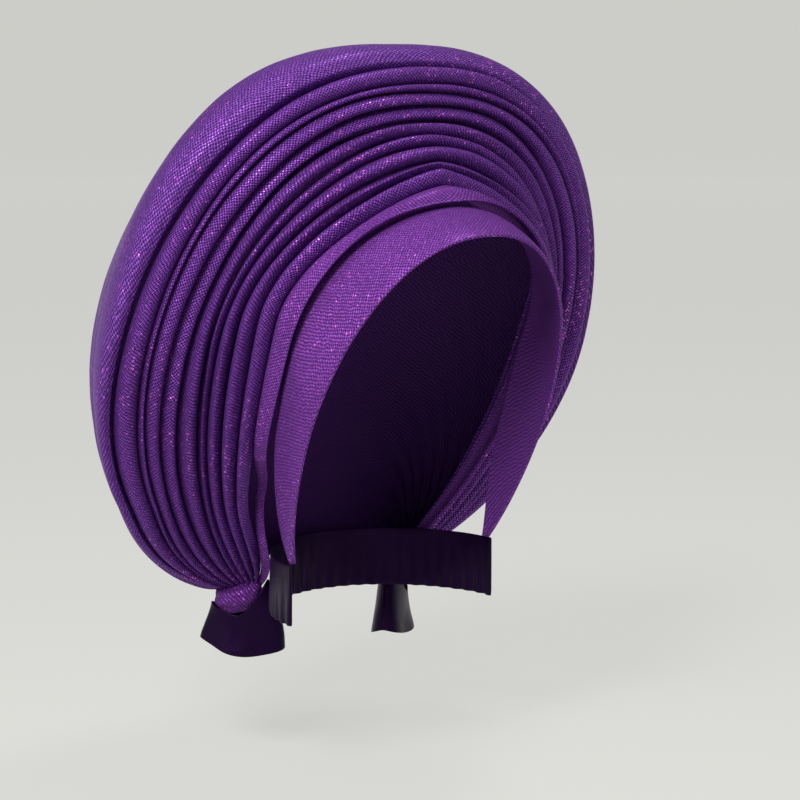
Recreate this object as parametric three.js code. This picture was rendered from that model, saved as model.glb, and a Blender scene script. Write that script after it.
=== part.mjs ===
// Tied gele: a pleated head tie gathered behind each ear.
// Millimetres, +Z up, the wearer faces -Y, the wearer's right is -X.
// The origin is the middle of the head at eye level.
import * as THREE from 'three';

// Cloth
const WALL = 2;
const TAIL_WALL = 1.6;
const GAP = 0.5;

// Mesh fineness
const STATIONS = 28;
const STEPS_PER_PLEAT = 5;
const STEPS_PER_LINE = 2;
const STEPS_PER_BAND = 4;
const TIE_STEPS = 24;
const ROUND_STEPS = 18;

// Gather behind the right ear, where every fold ends side by side; the left is its mirror
const GATHER = { x: 52, y: 81, z: -102 };
const STACK_DIR = { x: 0.7, y: 0.7, z: -0.2 };
const TURN_DIR = { x: -0.7, y: 0.7, z: 0 };
const PUFF_DIR = { x: -0.75, y: -0.65 };
const PUFF_HEIGHT = 60;

// Lower ends of the forehead band, beside the neck below each ear
const BAND_TIP = { x: 64, y: 8, z: -76 };

// Fold lines, from the forehead over the crown to the nape.
// Each is an arch that springs from the right gather and comes down at the left one.
//   lean    tilt of the arch's plane, degrees back from upright
//   half    half of its greatest width
//   wideAt  height of that width along the plane
//   rise    height of the top along the plane
//   point   1 is a round top, more is pointed, less is square
//   bow     how far the arch bows forward of its plane
//   stack   place of its end along the gather
//   turn    place of its end round the back of the gather
//   sink    how far the line lies below the smooth cloth, at the top
//   puff    how far the line puffs in and forward just above the gather
const FOLD_LINES = table(
  ['name', 'lean', 'half', 'wideAt', 'rise', 'point', 'bow', 'stack', 'turn', 'sink', 'puff'],
  [
    ['wrap_edge', -29.4, 80.5, 169, 244, 0.95, 10.3, -14, 0, 0, 7.5],
    ['wrap_top', -26.8, 87, 174.5, 250.5, 1.5, 8.6, -11.5, 0, 1, 5],
    ['pleat_1_top', -25, 91.4, 171.5, 253.6, 1.5, 6.2, -9, 0, 0, 3.2],
    ['pleat_2_top', -24.2, 97, 164.5, 257.4, 1.3, 1.2, -7, 0, 0, 2],
    ['pleat_3_top', -23.2, 102.5, 155.5, 264, 1.1, 0, -4.5, 0, 0, 1],
    ['pleat_4_top', -22.3, 106.6, 151.5, 269, 1.05, 0, -2.5, 0, 0, 0],
    ['pleat_5_top', -21.4, 116, 140.5, 274.7, 0.9, 0.7, 0, 0, 0, -0.5],
    ['pleat_6_top', -21.3, 125.7, 140, 283, 0.88, 2.5, 2.5, 0, 1, -1.5],
    ['pleat_7_top', -21.3, 135, 145, 291, 0.86, 3.2, 5, 0, 5, -3],
    ['pleat_8_top', -21, 139.5, 145, 297.8, 0.86, 4.3, 7, 0, 4.6, -3.5],
    ['pleat_9_top', -19.6, 149.4, 138, 305, 0.88, 3.2, 9.5, 0, 2, -4],
    ['rim_face', -18.1, 155.5, 140, 310, 0.82, 7.4, 11.5, 0, 0, -4],
    ['rim', -15.6, 157.2, 141, 309, 0.77, 8.7, 13, 0, 0, -4],
    ['rim_back', -12.2, 153, 141, 300.5, 0.8, 5.5, 13.5, 1.5, 0, -4],
    ['back_1', -4, 140, 129, 262, 0.88, 0, 13.5, 3, 0, -3],
    ['back_2', 4, 122, 108, 219, 0.94, 0, 13.5, 4.5, 0, -2],
    ['back_3', 12, 103, 82, 170, 1, 0, 13.5, 6, 0, -1],
    ['back_4', 18, 86, 56, 116, 1, 0, 13.5, 7.5, 0, 0],
    ['back_5', 19, 72, 30, 62, 1, 0, 13.5, 9, 0, 0],
    ['nape_edge', -35, 58, 6, 22, 1, 0, 13.5, 10.5, 0, 0],
  ],
);

// The forehead band springs from its own two tips
const BAND_LINES = table(
  ['name', 'lean', 'half', 'wideAt', 'rise', 'point', 'bow', 'back', 'sink', 'puff'],
  [
    ['band_edge', -25.6, 77, 79, 194.3, 0.91, 0, 0, 0, 0],
    ['band_tuck', -19.6, 76.7, 129, 199.2, 1.08, -8.8, 16, 0, 0],
  ],
);
const BAND_FULLNESS = 0.04;

// Pieces of the fan: from one fold line to the next, with the fullness of each fold
//   fullness  height of the fold over its width
const FAN_PIECES = table(
  ['name', 'from', 'fullness', 'color'],
  [
    ['second_wrap', 0, 0.16, 0x6a2c9c],
    ['pleat_1', 1, 0.45, 0x5a2590],
    ['pleat_2', 2, 0.5, 0x552288],
    ['pleat_3', 3, 0.5, 0x5a2590],
    ['pleat_4', 4, 0.5, 0x552288],
    ['pleat_5', 5, 0.5, 0x5a2590],
    ['pleat_6', 6, 0.5, 0x552288],
    ['pleat_7', 7, 0.5, 0x5a2590],
    ['pleat_8', 8, 0.4, 0x401c68],
    ['pleat_9', 9, 0.5, 0x5a2590],
  ],
);

// Knot wrapped round each gather: oval sections of a solid roll, top to bottom
//   at     height of the section
//   long   half its size along the gather
//   short  half its size across the gather
//   lift   how far the two ends of the section rise above its middle
//   tilt   slope of the section along the gather, up going outward
//   shift  how far the section lies towards the neck
const KNOT_SECTIONS = table(
  ['at', 'long', 'short', 'lift', 'tilt', 'shift'],
  [
    [-103.6, 9.5, 7, 0, -0.2, 0],
    [-105.6, 11, 8.6, 0, -0.2, 0],
    [-110, 11.8, 9.2, 0, -0.2, 0],
    [-114.5, 11, 8.6, 0, -0.2, 0],
    [-117.3, 8.5, 6.5, 0, -0.2, 0],
  ],
);

// Tail flaring below each knot: oval sections of a bell of cloth, top to bottom
const TAIL_SECTIONS = table(
  ['at', 'long', 'short', 'lift', 'tilt', 'shift'],
  [
    [-118.2, 16.5, 5.6, 0, -0.3, 7],
    [-124, 19, 7.6, 1, -0.2, 5.5],
    [-131, 21.5, 9.6, 4, -0.08, 4],
    [-139, 24, 11.5, 9, 0.04, 3],
  ],
);

const KNOT_MIDDLE = { x: 52, y: 83 };

// Nape tie: an upright band of satin round the back of the neck, from band tip to band tip
const TIE = { halfWidth: 66, depth: 70, middleY: 8, corner: 1.1, top: -76.4, bottom: -109, wall: 2 };

// Colours and gloss
const SHIMMER = { roughness: 0.55, metalness: 0.1 };
const SATIN = { color: 0x33184f, roughness: 0.4, metalness: 0 };

// Rows of a table, each made into an object with the named columns
function table(columns, rows) {
  return rows.map((row) => Object.fromEntries(columns.map((column, i) => [column, row[i]])));
}

function clamp01(value) {
  return Math.min(1, Math.max(0, value));
}

// One point of an arch, t from -1 at the wearer's right end to 1 at the left end
function archPoint(line, end, t) {
  const side = Math.sign(t);
  const lowest = -Math.acos(end.x / line.half);
  const angle = Math.PI / 2 - Math.abs(t) * (Math.PI / 2 - lowest);
  const reach = Math.max(0, Math.cos(angle));
  const lowHeight = line.wideAt / Math.sqrt(1 - (end.x / line.half) ** 2);
  const upper = angle >= 0;
  const across = line.half * (upper ? reach ** line.point : reach);
  const height = line.wideAt + Math.sin(angle) * (upper ? line.rise - line.wideAt : lowHeight);
  const lean = THREE.MathUtils.degToRad(line.lean);
  const bow = line.bow * Math.sin(Math.PI * clamp01(height / line.rise));
  const puff = line.puff * Math.sin(Math.PI * clamp01(height / PUFF_HEIGHT));
  const x = across + puff * PUFF_DIR.x;
  const y = end.y + height * Math.sin(lean) - bow * Math.cos(lean) + puff * PUFF_DIR.y;
  const z = end.z + height * Math.cos(lean) + bow * Math.sin(lean);
  return new THREE.Vector3(side * x, y, z);
}

function gatherEnd(line) {
  return {
    x: GATHER.x + STACK_DIR.x * line.stack + TURN_DIR.x * line.turn,
    y: GATHER.y + STACK_DIR.y * line.stack + TURN_DIR.y * line.turn,
    z: GATHER.z + STACK_DIR.z * line.stack + TURN_DIR.z * line.turn,
  };
}

function bandEnd(line) {
  return { x: BAND_TIP.x, y: BAND_TIP.y + line.back, z: BAND_TIP.z };
}

// Smooth curve through a row of points
function through(points, v) {
  const last = points.length - 1;
  const i = Math.min(last - 1, Math.max(0, Math.floor(v)));
  const f = v - i;
  const a = points[Math.max(0, i - 1)];
  const b = points[i];
  const c = points[i + 1];
  const d = points[Math.min(last, i + 2)];
  const mix = (p, q, r, s) => 0.5 * (2 * q + (r - p) * f
    + (2 * p - 5 * q + 4 * r - s) * f * f + (3 * q - p - 3 * r + s) * f * f * f);
  return new THREE.Vector3(mix(a.x, b.x, c.x, d.x), mix(a.y, b.y, c.y, d.y), mix(a.z, b.z, c.z, d.z));
}

function station(j) {
  return -1 + 2 * j / STATIONS;
}

// A cloth surface over a set of arches: a point and its outward direction
class Surface {
  constructor(lines, endOf) {
    this.lines = lines;
    this.endOf = endOf;
  }

  row(t) {
    return this.lines.map((line) => archPoint(line, this.endOf(line), t));
  }

  point(t, v) {
    return through(this.row(t), v);
  }

  outward(t, v) {
    const top = this.lines.length - 1;
    const along = this.point(Math.min(1, t + 0.01), v).sub(this.point(Math.max(-1, t - 0.01), v));
    const across = this.point(t, Math.min(top, v + 0.25)).sub(this.point(t, Math.max(0, v - 0.25)));
    return along.cross(across).normalize();
  }

  width(t, i) {
    const row = this.row(t);
    return row[i].distanceTo(row[i + 1]);
  }
}

// Closed mesh of a wall whose outer and inner faces are grids of the same size
function wallGeometry(outer, inner) {
  const rows = outer.length;
  const cols = outer[0].length;
  const flat = [];
  for (const grid of [outer, inner]) {
    for (const row of grid) {
      for (const p of row) {
        flat.push(p.x, p.y, p.z);
      }
    }
  }
  const out = (j, k) => j * cols + k;
  const inn = (j, k) => rows * cols + j * cols + k;
  const index = [];
  const quad = (a, b, c, d) => index.push(a, b, c, a, c, d);
  for (let j = 0; j + 1 < rows; j += 1) {
    for (let k = 0; k + 1 < cols; k += 1) {
      quad(out(j, k), out(j + 1, k), out(j + 1, k + 1), out(j, k + 1));
      quad(inn(j, k), inn(j, k + 1), inn(j + 1, k + 1), inn(j + 1, k));
    }
    quad(out(j, 0), inn(j, 0), inn(j + 1, 0), out(j + 1, 0));
    quad(out(j, cols - 1), out(j + 1, cols - 1), inn(j + 1, cols - 1), inn(j, cols - 1));
  }
  for (let k = 0; k + 1 < cols; k += 1) {
    quad(out(0, k), out(0, k + 1), inn(0, k + 1), inn(0, k));
    quad(out(rows - 1, k), inn(rows - 1, k), inn(rows - 1, k + 1), out(rows - 1, k + 1));
  }
  const geometry = new THREE.BufferGeometry();
  geometry.setAttribute('position', new THREE.Float32BufferAttribute(flat, 3));
  geometry.setIndex(index);
  geometry.computeVertexNormals();
  return geometry;
}

// How much of a sunken line's depth is left at a station: all at the top, none at the gather
function sinkShare(t) {
  return 1 - Math.abs(t) ** 3;
}

// A strip of cloth from one line to another, swelling into a fold between each pair
function strip(surface, from, to, fullness, steps, trimFrom, trimTo) {
  const outer = [];
  const inner = [];
  for (let j = 0; j <= STATIONS; j += 1) {
    const t = station(j);
    const outerRow = [];
    const innerRow = [];
    const count = (to - from) * steps;
    for (let k = 0; k <= count; k += 1) {
      const i = Math.min(to - 1, from + Math.floor(k / steps));
      const f = (k - (i - from) * steps) / steps;
      const width = surface.width(t, i);
      const lead = f - 0.55 * Math.sin(2 * Math.PI * f) / (2 * Math.PI);
      const low = i === from && trimFrom ? GAP / 2 / width : 0;
      const high = i === to - 1 && trimTo ? 1 - GAP / 2 / width : 1;
      const v = i + low + (high - low) * lead;
      const normal = surface.outward(t, v);
      const swell = fullness * width * (1 - Math.cos(2 * Math.PI * f)) / 2;
      const sink = surface.lines[i].sink * (1 - lead) + surface.lines[i + 1].sink * lead;
      const p = surface.point(t, v).addScaledVector(normal, swell - sink * sinkShare(t));
      outerRow.push(p);
      innerRow.push(p.clone().addScaledVector(normal, -WALL));
    }
    outer.push(outerRow);
    inner.push(innerRow);
  }
  return wallGeometry(outer, inner);
}

// A point on an oval round a gather, its long side along the gather
function ovalPoint(sign, section, angle, shrink) {
  const along = (section.long - shrink) * Math.cos(angle) - section.shift;
  const across = (section.short - shrink) * Math.sin(angle);
  const x = KNOT_MIDDLE.x + (along - across) * Math.SQRT1_2;
  const y = KNOT_MIDDLE.y + (along + across) * Math.SQRT1_2;
  const z = section.at + section.lift * Math.cos(angle) ** 2 + section.tilt * along;
  return new THREE.Vector3(sign * x, y, z);
}

function flip(geometry) {
  const index = geometry.getIndex();
  for (let i = 0; i < index.count; i += 3) {
    const first = index.getX(i);
    index.setX(i, index.getX(i + 1));
    index.setX(i + 1, first);
  }
  geometry.computeVertexNormals();
  return geometry;
}

// A solid roll of ovals, closed at the top and the bottom
function knot(sign) {
  const flat = [];
  const index = [];
  const rows = KNOT_SECTIONS.length;
  for (const section of KNOT_SECTIONS) {
    for (let k = 0; k < ROUND_STEPS; k += 1) {
      const p = ovalPoint(sign, section, 2 * Math.PI * k / ROUND_STEPS, 0);
      flat.push(p.x, p.y, p.z);
    }
  }
  const at = (j, k) => j * ROUND_STEPS + (k % ROUND_STEPS);
  for (let k = 0; k < ROUND_STEPS; k += 1) {
    for (let j = 0; j + 1 < rows; j += 1) {
      index.push(at(j, k), at(j + 1, k), at(j + 1, k + 1), at(j, k), at(j + 1, k + 1), at(j, k + 1));
    }
    if (k > 1) {
      index.push(at(0, 0), at(0, k - 1), at(0, k));
      index.push(at(rows - 1, 0), at(rows - 1, k), at(rows - 1, k - 1));
    }
  }
  const geometry = new THREE.BufferGeometry();
  geometry.setAttribute('position', new THREE.Float32BufferAttribute(flat, 3));
  geometry.setIndex(index);
  geometry.computeVertexNormals();
  return sign > 0 ? geometry : flip(geometry);
}

// An open bell of cloth, joined to itself at the back
function tail(sign) {
  const flat = [];
  const index = [];
  const rows = TAIL_SECTIONS.length;
  for (const shrink of [0, TAIL_WALL]) {
    for (const section of TAIL_SECTIONS) {
      for (let k = 0; k < ROUND_STEPS; k += 1) {
        const p = ovalPoint(sign, section, 2 * Math.PI * k / ROUND_STEPS, shrink);
        flat.push(p.x, p.y, p.z);
      }
    }
  }
  const at = (face, j, k) => (face * rows + j) * ROUND_STEPS + (k % ROUND_STEPS);
  const quad = (a, b, c, d) => index.push(a, b, c, a, c, d);
  for (let k = 0; k < ROUND_STEPS; k += 1) {
    for (let j = 0; j + 1 < rows; j += 1) {
      quad(at(0, j, k), at(0, j + 1, k), at(0, j + 1, k + 1), at(0, j, k + 1));
      quad(at(1, j, k), at(1, j, k + 1), at(1, j + 1, k + 1), at(1, j + 1, k));
    }
    quad(at(0, 0, k), at(0, 0, k + 1), at(1, 0, k + 1), at(1, 0, k));
    quad(at(0, rows - 1, k), at(1, rows - 1, k), at(1, rows - 1, k + 1), at(0, rows - 1, k + 1));
  }
  const geometry = new THREE.BufferGeometry();
  geometry.setAttribute('position', new THREE.Float32BufferAttribute(flat, 3));
  geometry.setIndex(index);
  geometry.computeVertexNormals();
  return sign > 0 ? geometry : flip(geometry);
}

// A half oval in plan, the same at every height
function napeTie() {
  const outer = [];
  const inner = [];
  for (let j = 0; j <= TIE_STEPS; j += 1) {
    const angle = Math.PI * (1 - j / TIE_STEPS);
    const outerRow = [];
    const innerRow = [];
    for (const z of [TIE.top, (TIE.top + TIE.bottom) / 2, TIE.bottom]) {
      const place = (shrink) => new THREE.Vector3(
        (TIE.halfWidth - shrink) * Math.sign(Math.cos(angle)) * Math.abs(Math.cos(angle)) ** TIE.corner,
        TIE.middleY + (TIE.depth - shrink) * Math.max(0, Math.sin(angle)) ** TIE.corner,
        z,
      );
      outerRow.push(place(0));
      innerRow.push(place(TIE.wall));
    }
    outer.push(outerRow);
    inner.push(innerRow);
  }
  return wallGeometry(outer, inner);
}

function meshOf(name, geometry, look) {
  const mesh = new THREE.Mesh(geometry, new THREE.MeshStandardMaterial(look));
  mesh.name = name;
  return mesh;
}

const gele = new THREE.Group();
gele.name = 'gele_head_tie';

const fan = new Surface(FOLD_LINES, gatherEnd);
for (const piece of FAN_PIECES) {
  const to = piece.from + 1;
  const geometry = strip(fan, piece.from, to, piece.fullness, STEPS_PER_PLEAT, piece.from > 0, true);
  gele.add(meshOf(piece.name, geometry, { ...SHIMMER, color: piece.color }));
}

// Outer rim, turning over into the plain cloth of the back
const RIM_LINE = FOLD_LINES.findIndex((line) => line.name === 'pleat_9_top');
const LAST_LINE = FOLD_LINES.length - 1;
gele.add(meshOf('rim_and_back', strip(fan, RIM_LINE, LAST_LINE, 0, STEPS_PER_LINE, true, false),
  { ...SHIMMER, color: 0x5f3092 }));

// Forehead band
const band = new Surface(BAND_LINES, bandEnd);
gele.add(meshOf('forehead_band', strip(band, 0, 1, BAND_FULLNESS, STEPS_PER_BAND, false, false),
  { ...SHIMMER, color: 0x7a36b0 }));

for (const side of [{ name: 'right', sign: -1 }, { name: 'left', sign: 1 }]) {
  gele.add(meshOf(`${side.name}_knot`, knot(side.sign), { ...SHIMMER, color: 0x532486 }));
  gele.add(meshOf(`${side.name}_tail`, tail(side.sign), SATIN));
}
gele.add(meshOf('nape_tie', napeTie(), SATIN));

export default gele;
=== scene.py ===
"""Looks of a tied gele: shimmer-mesh folds, a smooth band, wound knots and satin tails."""
import logging
import math
from dataclasses import dataclass
from enum import Enum

import bpy
import numpy as np
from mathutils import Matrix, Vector


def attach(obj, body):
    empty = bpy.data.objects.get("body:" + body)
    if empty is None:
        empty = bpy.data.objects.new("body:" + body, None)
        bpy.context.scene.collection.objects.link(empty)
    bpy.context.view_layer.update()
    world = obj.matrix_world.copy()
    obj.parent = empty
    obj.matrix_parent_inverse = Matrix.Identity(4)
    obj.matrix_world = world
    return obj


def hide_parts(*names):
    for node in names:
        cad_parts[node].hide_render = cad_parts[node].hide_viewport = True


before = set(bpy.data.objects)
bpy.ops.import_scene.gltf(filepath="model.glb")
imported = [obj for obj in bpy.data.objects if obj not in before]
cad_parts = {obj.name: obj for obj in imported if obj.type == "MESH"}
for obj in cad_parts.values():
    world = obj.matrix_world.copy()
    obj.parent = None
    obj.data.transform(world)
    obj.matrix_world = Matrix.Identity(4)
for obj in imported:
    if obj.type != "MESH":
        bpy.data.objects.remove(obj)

LOG = logging.getLogger("gele")
MM = 0.001
FULL_TURN = 2 * math.pi
Colour = tuple[float, float, float]
CLOTH_MAP = "cloth"
INSIDE = "inside"


class Held(Enum):
    """Ways in which a sheet of this head tie keeps its form."""

    FOLDED = "folded"
    GATHERED = "gathered"
    STRETCHED = "stretched"


class Profile(Enum):
    """Cross-sections of a fold."""

    CORD = "a round cord with deep grooves beside it"
    SOFT = "a low swelling"
    FLAT = "flat cloth"


class Side(Enum):
    """The two sides as worn, with the sign of X on each."""

    RIGHT = -1
    LEFT = 1

    @property
    def word(self) -> str:
        """Name of the side in lower case."""
        return self.name.lower()


class ShaderKit:
    """Short calls for adding and joining nodes in one tree."""

    def __init__(self, tree: bpy.types.NodeTree) -> None:
        """Keeps the tree that the calls work on."""
        self.tree = tree

    def add(self, kind: str, **settings: object) -> bpy.types.Node:
        """Adds a node.

        Args:
            kind: Blender's type name of the node.
            **settings: Attributes to set on it.

        Returns:
            The new node.
        """
        made = self.tree.nodes.new(kind)
        for name, value in settings.items():
            setattr(made, name, value)
        return made

    def join(self, source: bpy.types.NodeSocket, target: bpy.types.NodeSocket) -> None:
        """Links an output to an input."""
        self.tree.links.new(source, target)

    def math(self, operation: str, first: object, second: object = None) -> bpy.types.NodeSocket:
        """Adds a Math node.

        Args:
            operation: Its operation.
            first: A socket or a number for the first input.
            second: A socket or a number for the second input, if it has one.

        Returns:
            The node's output.
        """
        made = self.add("ShaderNodeMath", operation=operation)
        for place, value in enumerate((first, second)):
            if isinstance(value, bpy.types.NodeSocket):
                self.join(value, made.inputs[place])
            elif value is not None:
                made.inputs[place].default_value = value
        return made.outputs[0]

    def span(self, value: bpy.types.NodeSocket, low: float, high: float,
             to_low: float, to_high: float) -> bpy.types.NodeSocket:
        """Adds a clamped Map Range node.

        Args:
            value: Socket to map.
            low: Lower end of what comes in.
            high: Upper end of what comes in.
            to_low: What the lower end becomes.
            to_high: What the upper end becomes.

        Returns:
            The mapped value.
        """
        made = self.add("ShaderNodeMapRange")
        self.join(value, made.inputs["Value"])
        for name, number in (("From Min", low), ("From Max", high), ("To Min", to_low), ("To Max", to_high)):
            made.inputs[name].default_value = number
        return made.outputs["Result"]

    def blend(self, share: bpy.types.NodeSocket, first: object, second: object) -> bpy.types.NodeSocket:
        """Mixes two colours.

        Args:
            share: Socket that says how much of the second is used.
            first: A socket or a colour.
            second: A socket or a colour.

        Returns:
            The mixed colour.
        """
        made = self.add("ShaderNodeMix", data_type="RGBA")
        self.join(share, made.inputs[0])
        for place, value in ((6, first), (7, second)):
            if isinstance(value, bpy.types.NodeSocket):
                self.join(value, made.inputs[place])
            else:
                made.inputs[place].default_value = (*value, 1.0)
        return made.outputs[2]

    def cloud(self, scale: float, detail: float) -> bpy.types.NodeSocket:
        """Adds a soft noise that is fixed to the piece.

        Args:
            scale: Its fineness.
            detail: How many finer layers it has.

        Returns:
            A value from 0 to 1.
        """
        made = self.add("ShaderNodeTexNoise")
        made.inputs["Scale"].default_value = scale
        made.inputs["Detail"].default_value = detail
        self.join(self.add("ShaderNodeTexCoord").outputs["Object"], made.inputs["Vector"])
        return made.outputs["Fac"]

    def emboss(self, height: bpy.types.NodeSocket, strength: float, distance: float,
               shader: bpy.types.Node) -> None:
        """Raises a fine relief on a shader.

        Args:
            height: Socket with the relief.
            strength: How strongly it shows.
            distance: Its height in metres.
            shader: The main shader.
        """
        bump = self.add("ShaderNodeBump")
        bump.inputs["Strength"].default_value = strength
        bump.inputs["Distance"].default_value = distance
        self.join(height, bump.inputs["Height"])
        self.join(bump.outputs["Normal"], shader.inputs["Normal"])


def new_material(name: str) -> tuple[bpy.types.Material, ShaderKit, bpy.types.Node]:
    """Starts a node material.

    Args:
        name: Its name.
    """
    material = bpy.data.materials.new(name)
    material.use_nodes = True
    kit = ShaderKit(material.node_tree)
    return material, kit, material.node_tree.nodes["Principled BSDF"]


def darker(colour: Colour, share: float) -> Colour:
    """Takes a share of a colour's light."""
    return tuple(share * part for part in colour)


@dataclass(frozen=True)
class Gloss:
    """How a cloth shines: a tinted gloss, and a sheen where it turns away."""

    level: float
    tint: Colour
    sheen: float
    sheen_roughness: float
    sheen_tint: Colour

    def set_on(self, shader: bpy.types.Node) -> None:
        """Sets the gloss on a main shader.

        Args:
            shader: The shader whose own sockets are set.
        """
        for name, value in (
            ("Specular IOR Level", self.level),
            ("Specular Tint", (*self.tint, 1.0)),
            ("Sheen Weight", self.sheen),
            ("Sheen Roughness", self.sheen_roughness),
            ("Sheen Tint", (*self.sheen_tint, 1.0)),
        ):
            shader.inputs[name].default_value = value


@dataclass(frozen=True)
class ShimmerMesh:
    """Purple net with a staggered weave of raised dots and small bright flecks.

    Pairs that end in edge are the values between which a mask goes from none to full.
    """

    name: str
    thread: Colour
    gap: Colour
    fleck: Colour = (0.7, 0.16, 0.8)
    pitch: float = 2.0 * MM
    slant: float = 0.0
    rib: float = 0.0
    pull: float = 2.0 * MM
    pull_scale: float = 260.0
    pull_detail: float = 2.0
    dot_edge: tuple[float, float] = (-0.4, 0.65)
    relief: float = 0.35 * MM
    relief_strength: float = 0.8
    cloud_scale: float = 14.0
    cloud_detail: float = 3.0
    fleck_share: float = 0.13
    fleck_edge: tuple[float, float] = (0.46, 0.66)
    worn_edge: tuple[float, float] = (0.25, 0.75)
    # Most that random wear darkens the thread
    wear_and_shade: float = 0.75
    # Painted shade laid over the cloth's inner face
    inside_shade: float = 0.9
    # Share of the thread's colour left where wear and painted shade darken it
    wear_and_shade_share: float = 0.5
    roughness: float = 0.37
    fleck_roughness: float = 0.26
    shine: float = 0.6
    fleck_shine: float = 0.85
    gloss: Gloss = Gloss(0.18, (0.6, 0.3, 0.9), 0.015, 0.4, (0.6, 0.4, 1.0))

    def material(self) -> bpy.types.Material:
        """Makes the finish as a material.

        Returns:
            The material, with flecks and shine on the cloth's outer face only, and painted shade on its
            inner face.
        """
        material, kit, shader = new_material(self.name)
        along, across = self.threads(kit)
        dot = self.dots(kit, along, across)
        draw = self.draws(kit, along, across)
        cloud = kit.cloud(self.cloud_scale, self.cloud_detail)
        inside = kit.add("ShaderNodeAttribute", attribute_name=INSIDE).outputs["Fac"]
        outside = kit.math("SUBTRACT", 1.0, inside)
        plain = kit.span(cloud, *self.fleck_edge, 1.0, 1.0 - self.fleck_share)
        picked = kit.math("GREATER_THAN", draw, plain)
        fleck = kit.math("MULTIPLY", kit.math("MULTIPLY", picked, dot), outside)
        uneven = kit.math("MULTIPLY", kit.math("ADD", cloud, draw), 0.5)
        wear_and_shade = kit.span(uneven, *self.worn_edge, 0.0, self.wear_and_shade)
        # The inner face gets painted shade, taken together with the random wear
        wear_and_shade = kit.math("MAXIMUM", wear_and_shade, kit.math("MULTIPLY", inside, self.inside_shade))
        thread = kit.blend(wear_and_shade, self.thread, darker(self.thread, self.wear_and_shade_share))
        woven = kit.blend(dot, self.gap, thread)
        kit.join(kit.blend(fleck, woven, self.fleck), shader.inputs["Base Color"])
        roughness = kit.span(fleck, 0.0, 1.0, self.roughness, self.fleck_roughness)
        kit.join(roughness, shader.inputs["Roughness"])
        shine = kit.math("MULTIPLY", kit.math("MULTIPLY", dot, self.shine), outside)
        shine = kit.math("MAXIMUM", shine, kit.math("MULTIPLY", fleck, self.fleck_shine))
        kit.join(shine, shader.inputs["Metallic"])
        kit.emboss(dot, self.relief_strength, self.relief, shader)
        self.gloss.set_on(shader)
        return material

    def dots(self, kit: ShaderKit, along: bpy.types.NodeSocket,
             across: bpy.types.NodeSocket) -> bpy.types.NodeSocket:
        """Raises the dots of the weave, drawn out into ribs where the finish has them.

        Args:
            kit: Kit of the material's tree.
            along: Angle along the weave.
            across: Angle across the weave.

        Returns:
            1 on a dot and 0 between the dots.
        """
        row = kit.math("COSINE", along)
        wave = kit.math("MULTIPLY", row, kit.math("COSINE", across))
        if self.rib:
            ribbed = kit.math("MULTIPLY", row, self.rib)
            wave = kit.math("ADD", kit.math("MULTIPLY", wave, 1.0 - self.rib), ribbed)
        return kit.span(wave, *self.dot_edge, 0.0, 1.0)

    def threads(self, kit: ShaderKit) -> tuple[bpy.types.NodeSocket, bpy.types.NodeSocket]:
        """Turns the cloth's own map into angles along and across the weave.

        Args:
            kit: Kit of the material's tree.

        Returns:
            The two angles, a full turn for each dot.
        """
        chart = kit.add("ShaderNodeUVMap", uv_map=CLOTH_MAP)
        turn = kit.add("ShaderNodeMapping")
        turn.inputs["Rotation"].default_value = (0.0, 0.0, math.radians(self.slant))
        pull = kit.add("ShaderNodeTexNoise")
        pull.inputs["Scale"].default_value = self.pull_scale
        pull.inputs["Detail"].default_value = self.pull_detail
        kit.join(chart.outputs["UV"], pull.inputs["Vector"])
        shift = kit.add("ShaderNodeVectorMath", operation="MULTIPLY_ADD")
        shift.inputs[1].default_value = (self.pull, self.pull, 0.0)
        kit.join(pull.outputs["Color"], shift.inputs[0])
        kit.join(chart.outputs["UV"], shift.inputs[2])
        kit.join(shift.outputs["Vector"], turn.inputs["Vector"])
        parts = kit.add("ShaderNodeSeparateXYZ")
        kit.join(turn.outputs["Vector"], parts.inputs[0])
        rate = FULL_TURN / self.pitch
        return (kit.math("MULTIPLY", parts.outputs["X"], rate),
                kit.math("MULTIPLY", parts.outputs["Y"], rate))

    @staticmethod
    def draws(kit: ShaderKit, along: bpy.types.NodeSocket,
              across: bpy.types.NodeSocket) -> bpy.types.NodeSocket:
        """Draws a random number for each dot of the weave.

        Args:
            kit: Kit of the material's tree.
            along: Angle along the weave.
            across: Angle across the weave.

        Returns:
            A number from 0 to 1, one for each dot.
        """
        cell = kit.add("ShaderNodeCombineXYZ")
        for place, mixed in enumerate(("ADD", "SUBTRACT")):
            count = kit.math("DIVIDE", kit.math(mixed, along, across), FULL_TURN)
            kit.join(kit.math("ROUND", count), cell.inputs[place])
        draw = kit.add("ShaderNodeTexWhiteNoise", noise_dimensions="2D")
        kit.join(cell.outputs[0], draw.inputs["Vector"])
        return draw.outputs["Value"]


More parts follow.
